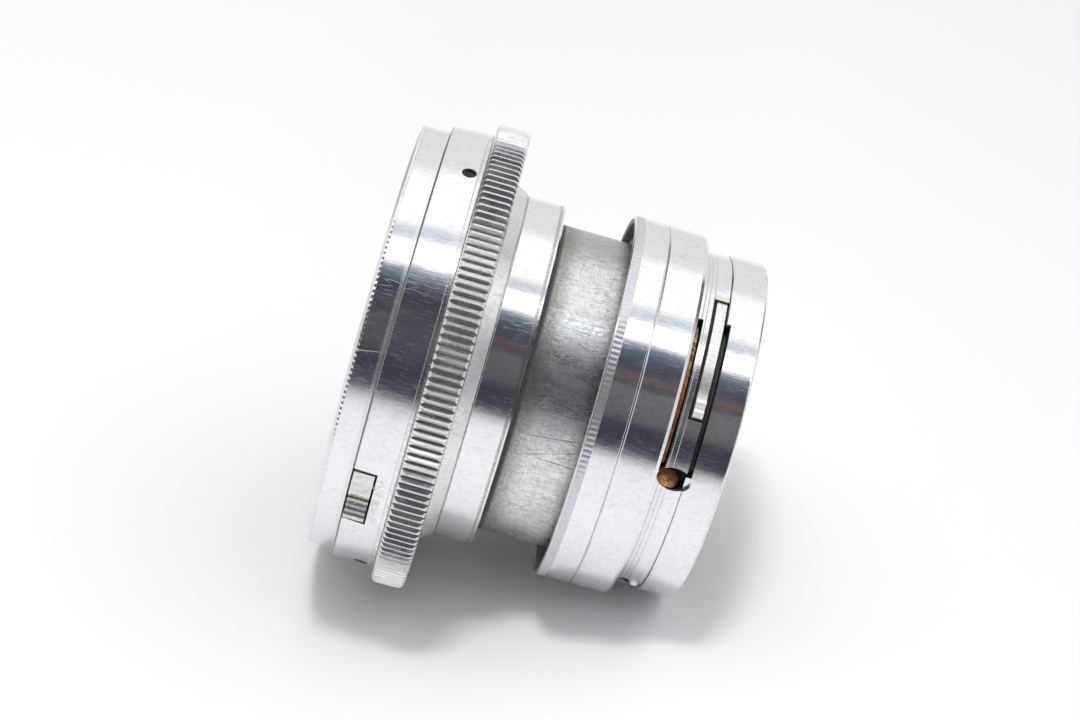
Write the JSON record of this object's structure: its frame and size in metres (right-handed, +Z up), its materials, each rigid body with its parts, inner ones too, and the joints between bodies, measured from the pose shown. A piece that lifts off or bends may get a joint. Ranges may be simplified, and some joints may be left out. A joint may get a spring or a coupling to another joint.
{
  "type": "enlarger lens",
  "caption": "Enlarging lens in a bright metal focusing mount with a coarse knurled ring, sliding tube, iris and front groove.",
  "frame": {"origin": "where the optical axis crosses the rear seat, the flat back face of the rear ring", "axes": "+X along the optical axis from the rear seat towards the front ring; +Z up as the lens lies on its side, square to the axis"},
  "size_m": [0.0448, 0.058, 0.058],
  "materials": {
    "polished_alloy": "polished, finely turned, lightly scuffed",
    "satin_alloy": "satin turned",
    "knurled_alloy": "straight coarse knurl with dirt between the teeth",
    "worn_alloy": "worn and brushed round, with scratches",
    "black_anodised": "matt black",
    "bright_steel": "bright spring steel",
    "dark_steel": "oiled dark steel",
    "blued_steel": "blackened thin steel",
    "brass": "turned brass",
    "felt": "black felt",
    "lens_glass": "polished and coated"
  },
  "bodies": {
    "mount": {"rear_ring": "polished_alloy", "body_ring": "polished_alloy", "set_screws": "dark_steel", "main_barrel": "satin_alloy", "barrel_screws": "dark_steel", "thrust_collar": "satin_alloy", "guide_collar": "polished_alloy", "felt_ring": "felt", "guide_key": "brass", "catch_pin": "bright_steel", "catch_spring": "bright_steel"},
    "catch": {"release_catch": "satin_alloy"},
    "focus": {"focus_ring": "knurled_alloy", "drive_pin": "brass"},
    "head": {"lens_tube": "worn_alloy", "light_baffle": "black_anodised", "head_barrel": "black_anodised", "snap_ring": "bright_steel", "index_ring": "polished_alloy", "groove_ring": "satin_alloy", "catch_leaf": "bright_steel", "catch_stud": "bright_steel", "front_ring": "polished_alloy", "iris_housing": "black_anodised", "iris_retainer": "bright_steel", "front_cell": "black_anodised", "second_element": "lens_glass", "element_spacer": "black_anodised", "front_element": "lens_glass", "front_retainer": "black_anodised", "trim_ring": "black_anodised", "rear_cell": "black_anodised", "rear_negative_element": "lens_glass", "rear_positive_element": "lens_glass", "rear_retainer": "black_anodised"},
    "aperture": {"aperture_ring": "polished_alloy", "aperture_lug": "brass", "cam_ring": "brass"},
    "blade_1": {"iris_blade_1": "blued_steel"},
    "blade_2": {"iris_blade_2": "blued_steel"},
    "blade_3": {"iris_blade_3": "blued_steel"},
    "blade_4": {"iris_blade_4": "blued_steel"},
    "blade_5": {"iris_blade_5": "blued_steel"},
    "blade_6": {"iris_blade_6": "blued_steel"},
    "blade_7": {"iris_blade_7": "blued_steel"},
    "blade_8": {"iris_blade_8": "blued_steel"}
  },
  "joints": [
    {"name": "tube_slide", "type": "slide", "parent": "mount", "child": "head", "axis": [1, 0, 0], "range_m": [-0.008, 0.001]},
    {"name": "focus_turn", "type": "hinge", "parent": "mount", "child": "focus", "pos_m": [0.0108, 0, 0], "axis": [1, 0, 0], "range_deg": [-160.5, 20.5]},
    {"name": "aperture_turn", "type": "hinge", "parent": "head", "child": "aperture", "pos_m": [0.0308, 0, 0], "axis": [1, 0, 0], "range_deg": [0, 42]},
    {"name": "catch_rock", "type": "hinge", "parent": "mount", "child": "catch", "pos_m": [0.005, -0.02458, -0.00456], "axis": [1, 0, 0], "range_deg": [0, 5], "stiffness_Nm_per_rad": 0.05, "springref_deg": -2.86, "deforming": ["catch_spring"]},
    {"name": "blade_1_swing", "type": "hinge", "parent": "head", "child": "blade_1", "pos_m": [0.033, 0.0144, 0], "axis": [1, 0, 0], "range_deg": [0, 30.5]},
    {"name": "blade_2_swing", "type": "hinge", "parent": "head", "child": "blade_2", "pos_m": [0.033, 0.01018, 0.01018], "axis": [1, 0, 0], "range_deg": [0, 30.5]},
    {"name": "blade_3_swing", "type": "hinge", "parent": "head", "child": "blade_3", "pos_m": [0.033, 0, 0.0144], "axis": [1, 0, 0], "range_deg": [0, 30.5]},
    {"name": "blade_4_swing", "type": "hinge", "parent": "head", "child": "blade_4", "pos_m": [0.033, -0.01018, 0.01018], "axis": [1, 0, 0], "range_deg": [0, 30.5]},
    {"name": "blade_5_swing", "type": "hinge", "parent": "head", "child": "blade_5", "pos_m": [0.033, -0.0144, 0], "axis": [1, 0, 0], "range_deg": [0, 30.5]},
    {"name": "blade_6_swing", "type": "hinge", "parent": "head", "child": "blade_6", "pos_m": [0.033, -0.01018, -0.01018], "axis": [1, 0, 0], "range_deg": [0, 30.5]},
    {"name": "blade_7_swing", "type": "hinge", "parent": "head", "child": "blade_7", "pos_m": [0.033, 0, -0.0144], "axis": [1, 0, 0], "range_deg": [0, 30.5]},
    {"name": "blade_8_swing", "type": "hinge", "parent": "head", "child": "blade_8", "pos_m": [0.033, 0.01018, -0.01018], "axis": [1, 0, 0], "range_deg": [0, 30.5]}
  ],
  "couplings": [
    {"joint": "focus_turn", "follows": "tube_slide", "rad_per_m": 349.07},
    {"joint": "blade_1_swing", "follows": "aperture_turn", "ratio": 0.71429},
    {"joint": "blade_2_swing", "follows": "aperture_turn", "ratio": 0.71429},
    {"joint": "blade_3_swing", "follows": "aperture_turn", "ratio": 0.71429},
    {"joint": "blade_4_swing", "follows": "aperture_turn", "ratio": 0.71429},
    {"joint": "blade_5_swing", "follows": "aperture_turn", "ratio": 0.71429},
    {"joint": "blade_6_swing", "follows": "aperture_turn", "ratio": 0.71429},
    {"joint": "blade_7_swing", "follows": "aperture_turn", "ratio": 0.71429},
    {"joint": "blade_8_swing", "follows": "aperture_turn", "ratio": 0.71429}
  ]
}
